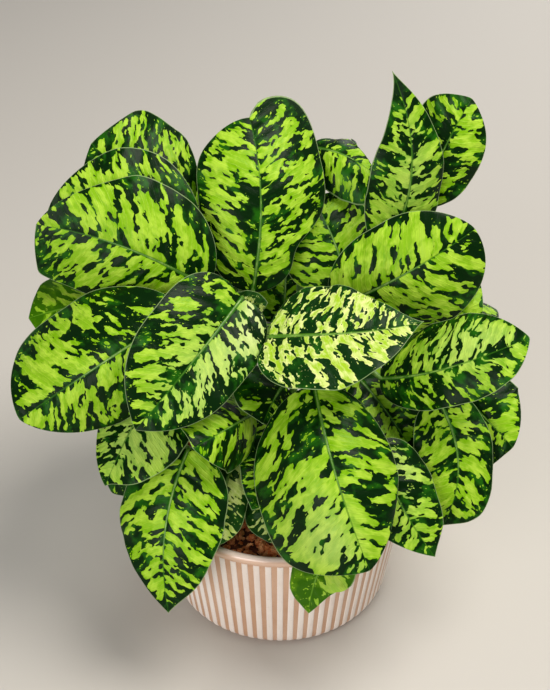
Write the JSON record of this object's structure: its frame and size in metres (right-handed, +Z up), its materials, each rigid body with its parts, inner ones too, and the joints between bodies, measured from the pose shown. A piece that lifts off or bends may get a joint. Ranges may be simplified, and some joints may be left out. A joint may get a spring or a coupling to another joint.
{
  "type": "potted adelonema wallisii",
  "caption": "House plant in a round tapering striped pot: chunky soil and arching stalks that carry broad, pointed, waved leaves blotched in dark green, lime and cream.",
  "frame": {"origin": "middle of the pot's flat bottom", "axes": "+Z up, -Y towards the side that the picture shows, +X to the right as seen from there"},
  "size_m": [0.326, 0.2768, 0.36],
  "materials": {
    "pot": "satin",
    "soil": "matte",
    "leaf": "satin",
    "leaf_cream": "satin"
  },
  "bodies": {
    "root": {"pot": "pot", "soil": "soil", "leaf_front_left": "leaf", "leaf_middle_cream": "leaf_cream", "leaf_front": "leaf", "leaf_right": "leaf", "leaf_left": "leaf", "leaf_right_upper": "leaf", "leaf_front_right_low": "leaf", "leaf_inner_small": "leaf", "leaf_inner_left": "leaf", "leaf_left_low": "leaf", "leaf_front_left_low": "leaf", "leaf_left_upper": "leaf", "leaf_tall_middle": "leaf", "leaf_right_low": "leaf", "leaf_inner_narrow": "leaf", "leaf_left_second": "leaf", "leaf_right_spear": "leaf", "leaf_curled": "leaf", "leaf_right_edge": "leaf", "leaf_right_shaded": "leaf", "leaf_inner_pale": "leaf", "leaf_front_hanging": "leaf", "leaf_left_top": "leaf", "leaf_right_top": "leaf", "leaf_middle_shaded": "leaf", "leaf_right_under": "leaf", "leaf_soil_small": "leaf", "leaf_left_behind": "leaf", "leaf_left_lowest": "leaf", "leaf_back_right_outer": "leaf", "leaf_back_right": "leaf", "leaf_back_middle": "leaf", "leaf_back_left": "leaf", "leaf_back_left_outer": "leaf", "leaf_back_right_low": "leaf", "leaf_back_left_low": "leaf", "leaf_back_left_upper": "leaf", "leaf_back_right_upper": "leaf", "leaf_back_middle_low": "leaf", "leaf_new_small": "leaf"}
  },
  "joints": []
}
